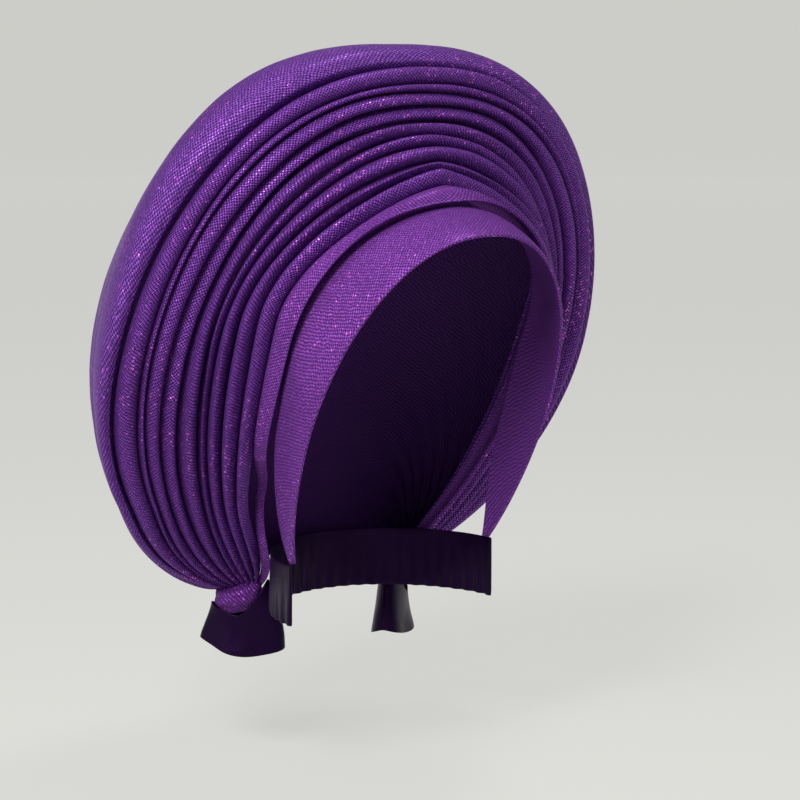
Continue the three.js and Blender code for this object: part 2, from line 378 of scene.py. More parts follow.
@dataclass(frozen=True)
class Satin:
    """Smooth dark satin with soft cloudy shading and a fine rib."""

    name: str
    face: Colour
    fold: Colour
    cloud_scale: float = 45.0
    cloud_detail: float = 4.0
    cloud_edge: tuple[float, float] = (0.3, 0.7)
    roughness: tuple[float, float] = (0.3, 0.46)
    rib: float = 0.5 * MM
    relief: float = 0.05 * MM
    relief_strength: float = 0.15
    gloss: Gloss = Gloss(0.22, (0.5, 0.2, 0.85), 0.02, 0.3, (0.55, 0.3, 0.95))

    def material(self) -> bpy.types.Material:
        """Makes the finish as a material.

        Returns:
            The material, ribbed along the cloth's own map.
        """
        material, kit, shader = new_material(self.name)
        cloud = kit.cloud(self.cloud_scale, self.cloud_detail)
        kit.join(kit.blend(cloud, self.face, self.fold), shader.inputs["Base Color"])
        kit.join(kit.span(cloud, *self.cloud_edge, *self.roughness), shader.inputs["Roughness"])
        chart = kit.add("ShaderNodeUVMap", uv_map=CLOTH_MAP)
        parts = kit.add("ShaderNodeSeparateXYZ")
        kit.join(chart.outputs["UV"], parts.inputs[0])
        rib = kit.math("SINE", kit.math("MULTIPLY", parts.outputs["X"], FULL_TURN / self.rib))
        kit.emboss(rib, self.relief_strength, self.relief, shader)
        self.gloss.set_on(shader)
        return material


@dataclass(frozen=True)
class Paper:
    """Pale matt paper for the floor, which turns up behind."""

    name: str
    colour: Colour
    glow: Colour
    grain_scale: float = 0.2
    grain_detail: float = 2.0
    grain_shade: float = 0.94
    roughness: float = 0.9

    def material(self) -> bpy.types.Material:
        """Makes the finish as a material.

        Returns:
            The material, which glows a little so that it stays even and pale.
        """
        material, kit, shader = new_material(self.name)
        grain = kit.cloud(self.grain_scale, self.grain_detail)
        shade = darker(self.colour, self.grain_shade)
        kit.join(kit.blend(grain, self.colour, shade), shader.inputs["Base Color"])
        shader.inputs["Roughness"].default_value = self.roughness
        shader.inputs["Emission Color"].default_value = (*self.glow, 1.0)
        shader.inputs["Emission Strength"].default_value = 1.0
        return material


# The band's and wrap's thread is lighter and more magenta than the pleats': painted highlight for their lit
# front
BAND_CLOTH = ShimmerMesh("shimmer_band", (0.34, 0.085, 0.49), (0.045, 0.011, 0.12))
PLEAT_CLOTH = ShimmerMesh("shimmer_pleat", (0.3, 0.08, 0.53), (0.016, 0.005, 0.055))
RIM_CLOTH = ShimmerMesh("shimmer_rim", (0.31, 0.092, 0.53), (0.03, 0.01, 0.09))
KNOT_CLOTH = ShimmerMesh("shimmer_knot", (0.2, 0.045, 0.31), (0.045, 0.011, 0.09), pitch=1.5 * MM,
                         slant=-52.0, rib=0.7, fleck_share=0.05)
# Dark purple satin, darkened further to near black as painted shade for the tie and tails under the gathers
SATIN = Satin("satin", (0.0065, 0.0014, 0.015), (0.002, 0.0006, 0.005))
PAPER = Paper("paper", (0.13, 0.13, 0.124), (0.56, 0.56, 0.535))


@dataclass(frozen=True)
class FoldLine:
    """An arch from the right gather over the top to the left one.

    lean is the tilt of its plane in degrees, half its half width, wide_at the height of that width,
    rise its top, point the sharpness of the top, bow how far it bows forward, stack and turn the
    place of its end in the gather, sink its depth below the smooth cloth, and puff how far it puffs
    in and forward just above the gather, in millimetres.
    """

    name: str
    lean: float
    half: float
    wide_at: float
    rise: float
    point: float
    bow: float
    stack: float
    turn: float = 0.0
    sink: float = 0.0
    puff: float = 0.0


@dataclass(frozen=True)
class Gather:
    """The pinch low on the right side; the left one is its mirror."""

    middle: tuple[float, float, float] = (52.0, 81.0, -102.0)
    stack_way: tuple[float, float, float] = (0.7, 0.7, -0.2)
    turn_way: tuple[float, float, float] = (-0.7, 0.7, 0.0)

    def end_of(self, line: FoldLine) -> np.ndarray:
        """Where a fold line ends on the right side, with X taken as positive."""
        stack = np.array(self.stack_way) * line.stack
        return np.array(self.middle) + stack + np.array(self.turn_way) * line.turn


@dataclass(frozen=True)
class BandTip:
    """The lower end of the forehead band; stack moves a line back from it."""

    middle: tuple[float, float, float] = (64.0, 8.0, -76.0)

    def end_of(self, line: FoldLine) -> np.ndarray:
        """Where a band line ends on the right side, with X taken as positive."""
        return np.array(self.middle) + np.array((0.0, line.stack, 0.0))


FAN_LINES = (
    FoldLine("wrap_edge", -29.4, 80.5, 169, 244, 0.95, 10.3, -11.8, 0, 0, 7.5),
    FoldLine("wrap_top", -26.8, 87, 174.5, 250.5, 1.5, 8.6, -10, 0, 1, 5),
    FoldLine("pleat_1_top", -25, 91.4, 171.5, 253.6, 1.5, 6.2, -8.4, 0, 0, 3.2),
    FoldLine("pleat_2_top", -24.2, 97, 164.5, 257.4, 1.3, 1.2, -7, 0, 0, 2),
    FoldLine("pleat_3_top", -23.2, 102.5, 155.5, 264, 1.1, 0, -4.5, 0, 0, 1),
    FoldLine("pleat_4_top", -22.3, 106.6, 151.5, 269, 1.05, 0, -2.5, 0, 0, 0),
    FoldLine("pleat_5_top", -21.4, 116, 140.5, 274.7, 0.9, 0.7, 0, 0, 0, -0.5),
    FoldLine("pleat_6_top", -21.3, 125.7, 140, 283, 0.88, 2.5, 2.5, 0, 1, -1.5),
    FoldLine("pleat_7_top", -21.3, 135, 145, 291, 0.86, 3.2, 5, 0, 2.8, -3),
    FoldLine("pleat_8_top", -21, 139.5, 145, 297.8, 0.86, 4.3, 7, 0, 3, -3.5),
    FoldLine("pleat_9_top", -19.6, 149.4, 138, 305, 0.88, 3.2, 9.5, 0, 2, -4),
    FoldLine("rim_face", -18.1, 155.5, 140, 310, 0.82, 7.4, 11.5, 0, 0, -4),
    FoldLine("rim", -15.6, 157.2, 141, 309, 0.77, 8.7, 13, 0, 0, -4),
    FoldLine("rim_back", -12.2, 153, 141, 300.5, 0.8, 5.5, 13.5, 1.5, 0, -4),
    FoldLine("back_1", -4, 140, 129, 262, 0.88, 0, 13.5, 3, 0, -3),
    FoldLine("back_2", 4, 122, 108, 219, 0.94, 0, 13.5, 4.5, 0, -2),
    FoldLine("back_3", 12, 103, 82, 170, 1, 0, 13.5, 6, 0, -1),
    FoldLine("back_4", 18, 86, 56, 116, 1, 0, 13.5, 7.5),
    FoldLine("back_5", 19, 72, 30, 62, 1, 0, 13.5, 9),
    FoldLine("nape_edge", -35, 58, 6, 22, 1, 0, 13.5, 10.5),
)
BAND_LINES = (
    FoldLine("band_edge", -25.6, 77, 79, 194.3, 0.91, 0, 0),
    FoldLine("band_tuck", -19.6, 76.7, 129, 199.2, 1.08, -8.8, 16),
)
# How far the fan's fold lines stray, in millimetres
FAN_WANDER = 0.35
# Number of the fold line at which the rim starts
RIM_START = 10
# Length that sets the weave of one strip apart from that of the next, in millimetres
CHART_STEP = 917.3
# Height and reach of the dark slot beside the innermost pleat, in millimetres
SLOT_LEVEL = -47.0
SLOT_REACH = 22.0


def unit(vectors: np.ndarray) -> np.ndarray:
    """Scales vectors to length one."""
    return vectors / np.maximum(np.linalg.norm(vectors, axis=-1, keepdims=True), 1e-12)


@dataclass(frozen=True)
class Sway:
    """One of the waves by which a fold line strays: its share, its rate, and its shift at each line."""

    share: float
    rate: float
    shift: float


@dataclass
class ClothSurface:
    """A smooth surface through a row of arches, in millimetres.

    Lines wander by a few waves that die out at the ends, and puff out just above the gather.
    """

    lines: tuple[FoldLine, ...]
    ends: Gather | BandTip
    wander: float = 0.0
    sways: tuple[Sway, ...] = (Sway(1.0, 9.0, 1.9), Sway(0.6, 21.0, 4.3))
    sway_fade: int = 4
    puff_height: float = 60.0
    puff_low: float = 0.62
    puff_gain: float = 1.05
    puff_round: float = 1.5
    puff_way: tuple[float, float] = (-0.75, -0.65)
    probe_along: float = 0.01
    probe_across: float = 0.25

    def line_points(self, number: int, t: np.ndarray) -> np.ndarray:
        """Points of one arch.

        Args:
            number: Which line.
            t: Places along it, -1 at the right end and 1 at the left.

        Returns:
            An array of points.
        """
        line = self.lines[number]
        end = self.ends.end_of(line)
        lowest = -math.acos(end[0] / line.half)
        angle = math.pi / 2 - np.abs(t) * (math.pi / 2 - lowest)
        reach = np.clip(np.cos(angle), 0.0, 1.0)
        upper = angle >= 0
        across = line.half * np.where(upper, reach ** line.point, reach)
        low_height = line.wide_at / math.sqrt(1 - (end[0] / line.half) ** 2)
        height = line.wide_at + np.sin(angle) * np.where(upper, line.rise - line.wide_at, low_height)
        lean = math.radians(line.lean)
        bow = line.bow * np.sin(math.pi * np.clip(height / line.rise, 0.0, 1.0))
        waves = sum(sway.share * np.sin(sway.rate * t + sway.shift * number) for sway in self.sways)
        near = np.clip(height / self.puff_height, 0.0, 1.0) ** self.puff_low
        puff = line.puff * self.puff_gain * np.clip(np.sin(math.pi * near), 0.0, 1.0) ** self.puff_round
        height = height + self.wander * (1 - np.abs(t) ** self.sway_fade) * waves
        x = across + puff * self.puff_way[0]
        y = end[1] + height * math.sin(lean) - bow * math.cos(lean) + puff * self.puff_way[1]
        z = end[2] + height * math.cos(lean) + bow * math.sin(lean)
        return np.stack([np.sign(t) * x, y, z], axis=-1)

    def points(self, t: np.ndarray, v: np.ndarray) -> np.ndarray:
        """Points of the surface.

        Args:
            t: Places along the arches, one for each row.
            v: Places across them, a row of values for each t.

        Returns:
            A grid of points.
        """
        rows = np.stack([self.line_points(i, t) for i in range(len(self.lines))], axis=1)
        last = len(self.lines) - 1
        first = np.clip(np.floor(v).astype(int), 0, last - 1)
        f = (v - first)[..., None]
        pick = np.arange(len(t))[:, None]
        a = rows[pick, np.maximum(first - 1, 0)]
        b = rows[pick, first]
        c = rows[pick, first + 1]
        d = rows[pick, np.minimum(first + 2, last)]
        return 0.5 * (2 * b + (c - a) * f + (2 * a - 5 * b + 4 * c - d) * f ** 2
                      + (3 * b - a - 3 * c + d) * f ** 3)

    def outward(self, t: np.ndarray, v: np.ndarray) -> np.ndarray:
        """Outward directions of the surface.

        Args:
            t: Places along the arches, one for each row.
            v: Places across them, a row of values for each t.

        Returns:
            A grid of directions of length one.
        """
        last = len(self.lines) - 1
        ahead, behind = np.minimum(t + self.probe_along, 1.0), np.maximum(t - self.probe_along, -1.0)
        above, below = np.minimum(v + self.probe_across, last), np.maximum(v - self.probe_across, 0)
        along = self.points(ahead, v) - self.points(behind, v)
        across = self.points(t, above) - self.points(t, below)
        return unit(np.cross(along, across))

    def widths(self, t: np.ndarray, number: int) -> np.ndarray:
        """Distance from one line to the next at each place along them."""
        gap = self.line_points(number + 1, t) - self.line_points(number, t)
        return np.linalg.norm(gap, axis=-1)


@dataclass
class RingMesh:
    """A closed body made of rings, with what the fold tree reads at each point.

    The first and the last ring are closed by a face each, unless the body is looped: then its last
    ring is its first one again.
    """

    points: np.ndarray
    outward: np.ndarray
    swell: np.ndarray
    slack: np.ndarray
    chart_u: np.ndarray
    chart_v: np.ndarray
    inside: np.ndarray
    looped: bool = False

    def build(self, name: str) -> bpy.types.Object:
        """Makes the mesh object, with the fold tree's inputs as attributes.

        Args:
            name: The object's name.

        Returns:
            The object, linked to the scene.
        """
        rows, cols = self.points.shape[:2]
        kept = rows - 1 if self.looped else rows
        mesh = bpy.data.meshes.new(name)
        mesh.from_pydata((self.points[:kept] * MM).reshape(-1, 3).tolist(), [], self.faces(rows, cols, kept))
        self.add_chart(mesh, rows, cols)
        for label, kind, values in (
            ("outward", "FLOAT_VECTOR", self.outward),
            ("swell", "FLOAT", self.swell * MM),
            ("slack", "FLOAT", self.slack),
            (INSIDE, "FLOAT", self.inside),
        ):
            layer = mesh.attributes.new(label, kind, "POINT")
            place = "vector" if kind == "FLOAT_VECTOR" else "value"
            layer.data.foreach_set(place, np.ascontiguousarray(values[:kept], dtype=np.float32).ravel())
        mesh.shade_smooth()
        made = bpy.data.objects.new(name, mesh)
        bpy.context.scene.collection.objects.link(made)
        return made

    def faces(self, rows: int, cols: int, kept: int) -> list[tuple[int, ...]]:
        """Lists the faces between the rings, and the two end faces of a body that isn't looped.

        Args:
            rows: How many rings there are.
            cols: How many points each ring has.
            kept: How many of the rings are in the mesh.

        Returns:
            The faces, as numbers of points.
        """
        faces = []
        for j in range(rows - 1):
            here, there = j * cols, (j + 1) % kept * cols
            for k in range(cols):
                n = (k + 1) % cols
                faces.append((here + k, there + k, there + n, here + n))
        if not self.looped:
            faces.append(tuple(range(cols)))
            faces.append(tuple((rows - 1) * cols + k for k in reversed(range(cols))))
        return faces

    def add_chart(self, mesh: bpy.types.Mesh, rows: int, cols: int) -> None:
        """Lays the cloth's own map on the mesh, in metres along and across.

        Args:
            mesh: Mesh to map.
            rows: How many rings there are.
            cols: How many points each ring has.
        """
        layer = mesh.uv_layers.new(name=CLOTH_MAP)
        u = self.chart_u * MM
        v = np.concatenate([self.chart_v, 2 * self.chart_v[:, -1:] - self.chart_v[:, -2:-1]], axis=1) * MM
        j, k = np.meshgrid(np.arange(rows - 1), np.arange(cols), indexing="ij")
        corners = [(j, k), (j + 1, k), (j + 1, k + 1), (j, k + 1)]
        chart = np.stack(
            [np.stack([u[a, np.minimum(b, cols - 1)], v[a, b]], axis=-1) for a, b in corners], axis=2
        ).reshape(-1, 2)
        ends = np.zeros((0 if self.looped else 2 * cols, 2))
        layer.data.foreach_set("uv", np.concatenate([chart, ends]).astype(np.float32).ravel())


@dataclass(frozen=True)
class Crumple:
    """Slight unevenness of a cloth: its height in metres, its fineness and its fixed seed."""

    height: float
    scale: float
    seed: float


class FoldTree:
    """Geometry Nodes that swell a flat wall of cloth into its folds and crumple it slightly."""

    NAME = "cloth_fold"

    def __init__(self) -> None:
        """Builds the tree once for every piece."""
        self.tree = bpy.data.node_groups.new(self.NAME, "GeometryNodeTree")
        self.kit = ShaderKit(self.tree)
        face = self.tree.interface
        face.new_socket("Geometry", in_out="INPUT", socket_type="NodeSocketGeometry")
        for label in ("Crumple", "Crumple Scale", "Seed"):
            face.new_socket(label, in_out="INPUT", socket_type="NodeSocketFloat")
        face.new_socket("Material", in_out="INPUT", socket_type="NodeSocketMaterial")
        face.new_socket("Geometry", in_out="OUTPUT", socket_type="NodeSocketGeometry")
        self.wire()

    def reading(self, label: str, kind: str) -> bpy.types.NodeSocket:
        """Reads one of the mesh's attributes.

        Args:
            label: The attribute's name.
            kind: Its data type.

        Returns:
            The attribute's value.
        """
        made = self.kit.add("GeometryNodeInputNamedAttribute", data_type=kind)
        made.inputs["Name"].default_value = label
        return next(out for out in made.outputs if out.name == "Attribute" and out.enabled)

    def wire(self) -> None:
        """Joins the tree's nodes."""
        kit = self.kit
        given = kit.add("NodeGroupInput").outputs
        noise = kit.add("ShaderNodeTexNoise", noise_dimensions="4D")
        kit.join(kit.add("GeometryNodeInputPosition").outputs[0], noise.inputs["Vector"])
        kit.join(given["Seed"], noise.inputs["W"])
        kit.join(given["Crumple Scale"], noise.inputs["Scale"])
        rough = kit.math("SUBTRACT", noise.outputs["Fac"], 0.5)
        rough = kit.math("MULTIPLY", rough, given["Crumple"])
        rough = kit.math("MULTIPLY", rough, self.reading("slack", "FLOAT"))
        height = self.reading("swell", "FLOAT")
        push = kit.add("ShaderNodeVectorMath", operation="SCALE")
        kit.join(self.reading("outward", "FLOAT_VECTOR"), push.inputs[0])
        kit.join(kit.math("ADD", height, rough), push.inputs["Scale"])
        moved = kit.add("GeometryNodeSetPosition")
        kit.join(given["Geometry"], moved.inputs["Geometry"])
        kit.join(push.outputs[0], moved.inputs["Offset"])
        whole = kit.add("GeometryNodeRealizeInstances")
        kit.join(moved.outputs[0], whole.inputs[0])
        dressed = kit.add("GeometryNodeSetMaterial")
        kit.join(whole.outputs[0], dressed.inputs["Geometry"])
        kit.join(given["Material"], dressed.inputs["Material"])
        kit.join(dressed.outputs[0], kit.add("NodeGroupOutput").inputs[0])

    def shape(self, piece: bpy.types.Object, material: bpy.types.Material, crumple: Crumple) -> None:
        """Runs the tree on a piece and makes the result its plain mesh.

        Args:
            piece: Object with the tree's attributes.
            material: Its finish.
            crumple: Its unevenness.
        """
        modifier = piece.modifiers.new(self.NAME, "NODES")
        modifier.node_group = self.tree
        values = {"Crumple": crumple.height, "Crumple Scale": crumple.scale, "Seed": crumple.seed,
                  "Material": material}
        for item in self.tree.interface.items_tree:
            if item.in_out == "INPUT" and item.name in values:
                modifier[item.identifier] = values[item.name]
        evaluated = piece.evaluated_get(bpy.context.evaluated_depsgraph_get())
        made = bpy.data.meshes.new_from_object(evaluated)
        piece.modifiers.remove(modifier)
        old = piece.data
        piece.data = made
        made.name = piece.name
        bpy.data.meshes.remove(old)
        for label in ("outward", "swell", "slack"):
            made.attributes.remove(made.attributes[label])


def declare(piece: bpy.types.Object, node: str) -> None:
    """Ties a sheet of cloth to the solids and reports it.

    Args:
        piece: The cloth.
        node: The solid that it stands for.
    """
    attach(piece, "root")
    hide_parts(node)
    LOG.info("%s: %d faces", piece.name, len(piece.data.polygons))


@dataclass(frozen=True)
class Lean:
    """A share that grows from the right side to the left: in the middle, its growth, and its least."""

    middle: float
    growth: float
    least: float

    def at(self, t: np.ndarray) -> np.ndarray:
        """Share at each place along a strip, as a column."""
        return np.clip(self.middle + self.growth * t, self.least, 1.0)[:, None]


@dataclass
class ClothStrip:
    """A strip of cloth between fold lines, as a thin closed wall with rounded edges.

    Lengths are in millimetres. fullness and dip are the fold's height and the depth of the grooves
    beside it, as shares of its width, and groove is a depth added to both grooves. roll turns the
    first edge under, overhang lifts it off the cloth before it, slot opens the dark slot, taper
    narrows both ends, and crease is the height of the creases at the gathers. gap is the seam to the
    next fold, which mostly closes at the gathers, and firm edges and ends hardly crumple. A reach or
    a start is a share of the strip's width or length, and a power says how quickly a change sets in.
    """

    surface: ClothSurface
    first: int
    last: int
    fullness: float = 0.0
    profile: Profile = Profile.CORD
    dip: float = 0.0
    groove: float = 1.2
    groove_lean: Lean = Lean(0.9, 0.6, 0.6)
    sink_power: int = 3
    sink_lean: Lean = Lean(0.8, 0.9, 0.2)
    roll: float = 0.0
    roll_reach: float = 0.25
    roll_spread: float = 1.7
    overhang: float = 0.0
    overhang_reach: float = 0.5
    overhang_power: float = 1.5
    slot: float = 0.0
    taper: float = 0.0
    taper_start: float = 0.86
    taper_power: float = 1.6
    crease: float = 0.0
    crease_skip: int = 2
    crease_power: int = 4
    crease_end: int = 40
    crease_waves: int = 2
    crease_shift: float = 0.9
    wall: float = 1.2
    gap: float = 0.9
    gap_closing: float = 0.8
    gap_power: int = 5
    firm_edge: float = 0.25
    firm_ends: float = 0.7
    firm_power: int = 6
    stations: int = 261
    steps: int = 30
    edge_steps: int = 4
    trim_first: bool = True
    trim_last: bool = True

    def rings(self) -> RingMesh:
        """Works out the strip's rings and what the fold tree needs.

        Returns:
            The rings, before the folds swell.
        """
        t = np.linspace(-1.0, 1.0, self.stations)
        v, swell = self.across(t)
        outward = self.surface.outward(t, v)
        smooth = self.surface.points(t, v)
        opened = np.exp(-((smooth[..., 2] - SLOT_LEVEL) / SLOT_REACH) ** 2) * (t < 0.0)[:, None]
        swell = swell - self.slot * opened
        sink = np.interp(v, np.arange(len(self.surface.lines)), [line.sink for line in self.surface.lines])
        sink = sink * (1 - np.abs(t)[:, None] ** self.sink_power) * self.sink_lean.at(t)
        outer = smooth - outward * sink[..., None]
        inner = outer - outward * self.wall
        reach = np.minimum(self.wall / 2, self.seam(t) / 4) if self.gap else self.wall / 2
        start = self.edge(outer, outward, 0, 1, reach)
        finish = self.edge(outer, outward, -1, -2, reach)
        points = np.concatenate([outer, finish, inner[:, ::-1], start[:, ::-1]], axis=1)
        ring_out, ring_swell = self.round_ring(outward), self.round_ring(swell)
        free = self.round_ring(self.freedom(outer.shape[1])[None, :])
        slack = free * (1 - self.firm_ends * np.abs(t)[:, None] ** self.firm_power)
        raised = points + ring_out * ring_swell[..., None]
        inside = np.zeros(ring_swell.shape)
        inside[:, outer.shape[1] + self.edge_steps:-self.edge_steps] = 1.0
        return RingMesh(points, ring_out, ring_swell, slack, *self.chart(raised), inside)

    def round_ring(self, values: np.ndarray) -> np.ndarray:
        """Carries values of the outer face round the edges and back along the inner face.

        Args:
            values: A row for each place along the strip, and a column for each place across it.

        Returns:
            The same rows with a column for each point of a ring.
        """
        finish = np.repeat(values[:, -1:], self.edge_steps, axis=1)
        start = np.repeat(values[:, :1], self.edge_steps, axis=1)
        return np.concatenate([values, finish, values[:, ::-1], start], axis=1)

    def seam(self, t: np.ndarray) -> np.ndarray:
        """Gap to the next fold at each place along the strip, closing towards the gathers."""
        return self.gap * (1 - self.gap_closing * np.abs(t)[:, None] ** self.gap_power)

    def freedom(self, columns: int) -> np.ndarray:
        """How freely each column of the outer face may crumple.

        Args:
            columns: How many columns it has.

        Returns:
            A share for each column; edges that meet a neighbour stay put.
        """
        if self.profile is Profile.SOFT:
            return np.ones(columns)
        place = np.linspace(0.0, 1.0, columns)
        return np.clip(np.minimum(place, 1 - place) / self.firm_edge, 0.0, 1.0)

    def across(self, t: np.ndarray) -> tuple[np.ndarray, np.ndarray]:
        """Places across the lines, and the height of the fold at each.

        Args:
            t: Places along the lines.

        Returns:
            Both as grids, a row for each t.
        """
        places, heights = [], []
        f = np.linspace(0.0, 1.0, self.steps + 1)[None, :]
        end = np.abs(t)[:, None]
        narrow = np.clip((end - self.taper_start) / (1 - self.taper_start), 0.0, 1.0) ** self.taper_power
        for number in range(self.first, self.last):
            width = self.surface.widths(t, number)[:, None]
            trim = self.seam(t) / 2 / width
            low = trim if number == self.first and self.trim_first else 0.0 * width
            high = 1 - trim if number == self.last - 1 and self.trim_last else 1 + 0.0 * width
            high = high * (1 - self.taper * narrow)
            place, height = self.section(f, width, self.groove_lean.at(t))
            if number == self.first and self.roll:
                place = place ** self.roll_spread
                height = height - self.roll * np.clip(1 - place / self.roll_reach, 0.0, 1.0) ** 2
            if self.overhang:
                near = np.clip(1 - place / self.overhang_reach, 0.0, 1.0) ** self.overhang_power
                height = height * (1 - near) + self.overhang * near
            if self.crease and number > self.first + self.crease_skip:
                gathered = end ** self.crease_power * (1 - end ** self.crease_end)
                wave = np.sin(FULL_TURN * self.crease_waves * place + self.crease_shift * number)
                height = height + self.crease * gathered * wave
            keep = slice(None) if number == self.first else slice(1, None)
            places.append((number + low + (high - low) * place)[:, keep])
            heights.append(height[:, keep])
        return np.concatenate(places, axis=1), np.concatenate(heights, axis=1)

    def section(self, f: np.ndarray, width: np.ndarray, deep: np.ndarray) -> tuple[np.ndarray, np.ndarray]:
        """Cross-section of one fold.

        Args:
            f: Steps across the fold, from 0 to 1.
            width: Its width at each place along it.
            deep: Share of the full depth of its grooves there.

        Returns:
            Places across the fold, from 0 to 1, and heights over the smooth cloth.
        """
        arch = np.sin(math.pi * f)
        if self.profile is Profile.CORD:
            place = (1 - np.cos(math.pi * f)) / 2
            groove = self.dip * deep * width + self.groove * np.clip(width / self.groove - 1.0, 0.0, 1.0)
            return place, self.fullness * width * arch - groove * (1 - arch)
        if self.profile is Profile.SOFT:
            return f, width * self.fullness * arch
        return f, 0.0 * width * f

    def edge(self, outer: np.ndarray, outward: np.ndarray, at: int, beside: int,
             reach: np.ndarray | float) -> np.ndarray:
        """Half-round edge from the outer face to the inner one.

        Args:
            outer: Points of the outer face.
            outward: Its outward directions.
            at: Column of the edge.
            beside: Column next to it.
            reach: How far the round stands out.

        Returns:
            The edge's own points, outer side first.
        """
        away = unit(outer[:, at] - outer[:, beside])
        away = unit(away - outward[:, at] * np.sum(away * outward[:, at], axis=-1, keepdims=True))
        middle = outer[:, at] - outward[:, at] * self.wall / 2
        rows = []
        for step in range(1, self.edge_steps + 1):
            angle = math.pi * step / (self.edge_steps + 1)
            rows.append(middle + outward[:, at] * self.wall / 2 * math.cos(angle)
                        + away * reach * math.sin(angle))
        return np.stack(rows, axis=1)

    def chart(self, points: np.ndarray) -> tuple[np.ndarray, np.ndarray]:
        """Lengths along and across the finished cloth, for its map.

        Args:
            points: Rings of the swollen strip.

        Returns:
            Both lengths as grids, across counted from the middle of each ring.
        """
        steps = np.linalg.norm(np.diff(points, axis=0), axis=-1)
        middle = steps[:, steps.shape[1] // 4]
        along = np.concatenate([[0.0], np.cumsum(middle)])
        ring = np.linalg.norm(np.diff(points, axis=1), axis=-1)
        across = np.concatenate([np.zeros((len(points), 1)), np.cumsum(ring, axis=1)], axis=1)
        crest = across[:, across.shape[1] // 4][:, None]
        own = CHART_STEP * self.first + along
        return np.repeat(own[:, None], points.shape[1], axis=1), across - crest


@dataclass(frozen=True)
class FanFold:
    """One fold of the fan.

    node is the solid that it stands for, fullness and dip are its height and the depth of its
    grooves as shares of its width, and flat, its width and length laid flat in metres, is not used.
    """

    node: str
    fullness: float
    dip: float
    flat: tuple[float, float]


WRAP_FOLD = FanFold("second_wrap", 0.14, 0.24, (0.0138, 0.613))
PLEAT_FOLDS = (
    FanFold("pleat_1", 0.42, 0.4, (0.0182, 0.635)),
    FanFold("pleat_2", 0.5, 0.42, (0.0209, 0.651)),
    FanFold("pleat_3", 0.5, 0.42, (0.0213, 0.671)),
    FanFold("pleat_4", 0.5, 0.4, (0.0148, 0.685)),
    FanFold("pleat_5", 0.46, 0.38, (0.0242, 0.715)),
    FanFold("pleat_6", 0.48, 0.42, (0.0203, 0.744)),
    FanFold("pleat_7", 0.42, 0.36, (0.0187, 0.786)),
    FanFold("pleat_8", 0.34, 0.2, (0.01, 0.812)),
    FanFold("pleat_9", 0.36, 0.4, (0.0223, 0.85)),
)


@dataclass
class PleatedFan:
    """The second wrap and the nine pleats, each a fold between two fold lines."""

    surface: ClothSurface
    folds: FoldTree
    crumple_height: float = 1.1 * MM
    crumple_scale: float = 42.0
    first_seed: float = 3.0
    wrap_slot: float = 13.0
    wrap_overhang: float = 2.4

    def build(self) -> None:
        """Makes every fold from the forehead to the rim."""
        wrap_cloth, pleat_cloth = BAND_CLOTH.material(), PLEAT_CLOTH.material()
        wrap = ClothStrip(self.surface, 0, 1, WRAP_FOLD.fullness, dip=WRAP_FOLD.dip,
                          slot=self.wrap_slot, overhang=self.wrap_overhang, trim_first=False)
        self.dress(wrap, WRAP_FOLD, wrap_cloth)
        for number, fold in enumerate(PLEAT_FOLDS, 1):
            pleat = ClothStrip(self.surface, number, number + 1, fold.fullness, dip=fold.dip)
            self.dress(pleat, fold, pleat_cloth)

    def dress(self, strip: ClothStrip, fold: FanFold, cloth: bpy.types.Material) -> None:
        """Makes one fold of its strip.

        Args:
            strip: The strip of cloth.
            fold: The fold that it becomes.
            cloth: Its finish.
        """
        piece = strip.rings().build(f"{fold.node}_cloth")
        seed = self.first_seed + strip.first
        self.folds.shape(piece, cloth, Crumple(self.crumple_height, self.crumple_scale, seed))
        declare(piece, fold.node)


@dataclass
class RimAndBack:
    """The wide outer fold, turning over into the plain cloth of the back."""

    surface: ClothSurface
    folds: FoldTree
    roll: float = 5.5
    crease: float = 4.0
    steps: int = 16
    crumple: Crumple = Crumple(2.5 * MM, 16.0, 21.0)
    flat: tuple[float, float] = (0.1967, 0.681)

    def build(self) -> None:
        """Makes the rim and the back as one cloth."""
        last = len(self.surface.lines) - 1
        strip = ClothStrip(self.surface, RIM_START, last, profile=Profile.FLAT, roll=self.roll,
                           crease=self.crease, steps=self.steps, trim_last=False)
        piece = strip.rings().build("rim_and_back_cloth")
        self.folds.shape(piece, RIM_CLOTH.material(), self.crumple)
        declare(piece, "rim_and_back")


@dataclass
class ForeheadBand:
    """The smooth band over the forehead, tucked under the second wrap."""

    folds: FoldTree
    fullness: float = 0.05
    taper: float = 0.72
    wall: float = 1.8
    steps: int = 40
    edge_steps: int = 6
    crumple: Crumple = Crumple(0.8 * MM, 25.0, 31.0)
    flat: tuple[float, float] = (0.0332, 0.4836)

    def build(self) -> None:
        """Makes the band."""
        surface = ClothSurface(BAND_LINES, BandTip())
        strip = ClothStrip(surface, 0, 1, self.fullness, Profile.SOFT, taper=self.taper, wall=self.wall,
                           gap=0.0, steps=self.steps, edge_steps=self.edge_steps)
        piece = strip.rings().build("forehead_band_cloth")
        self.folds.shape(piece, BAND_CLOTH.material(), self.crumple)
        declare(piece, "forehead_band")


@dataclass(frozen=True)
class OvalSection:
    """One oval round a gather, in millimetres.

    at is its height, long and short are its half sizes, lift is how far both its ends rise, tilt its
    slope from end to end, shift how far it lies inwards, and rise how far its inner end rises.
    """

    at: float
    long: float
    short: float
    lift: float
    tilt: float
    shift: float = 0.0
    rise: float = 0.0


